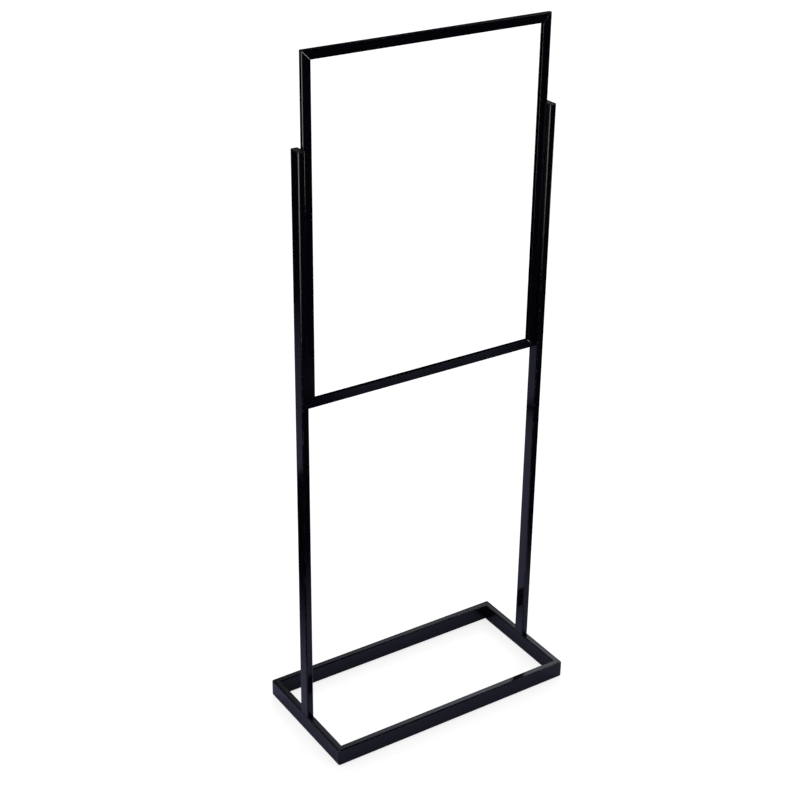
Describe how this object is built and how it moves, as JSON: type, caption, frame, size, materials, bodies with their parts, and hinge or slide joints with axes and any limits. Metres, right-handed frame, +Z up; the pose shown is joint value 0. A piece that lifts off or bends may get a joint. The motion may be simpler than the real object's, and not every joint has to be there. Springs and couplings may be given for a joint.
{
  "type": "sign stand",
  "caption": "Floor-standing sign stand: rectangular tube base, flat tube posts and an open channel frame that takes a sheet from above.",
  "frame": {"origin": "on the floor, at the centre of the base", "axes": "+X along the width, +Y towards the rear, +Z up along the posts"},
  "size_m": [0.61, 0.3, 1.545],
  "materials": {
    "base_paint": "high-gloss black powder coat over steel tube",
    "post_paint": "high-gloss black powder coat over steel tube",
    "frame_paint": "high-gloss black powder coat over steel channel",
    "cap_plastic": "gloss black moulded plastic",
    "glide_rubber": "matt dark rubber",
    "zinc_steel": "zinc-plated steel"
  },
  "bodies": {
    "root": {"base_front_rail": "base_paint", "base_rear_rail": "base_paint", "base_left_rail": "base_paint", "base_right_rail": "base_paint", "floor_glides": "glide_rubber", "left_post": "post_paint", "right_post": "post_paint", "left_post_cap": "cap_plastic", "right_post_cap": "cap_plastic", "left_post_foot_plug": "zinc_steel", "right_post_foot_plug": "zinc_steel", "foot_bolts": "zinc_steel", "foot_bolt_washers": "zinc_steel", "frame_top_rail": "frame_paint", "frame_bottom_rail": "frame_paint", "frame_left_rail": "frame_paint", "frame_right_rail": "frame_paint", "frame_top_left_plates": "frame_paint", "frame_top_right_plates": "frame_paint", "frame_bottom_left_plates": "frame_paint", "frame_bottom_right_plates": "frame_paint", "sheet_rests": "cap_plastic", "frame_screws": "zinc_steel", "post_thread_inserts": "zinc_steel"}
  },
  "joints": []
}
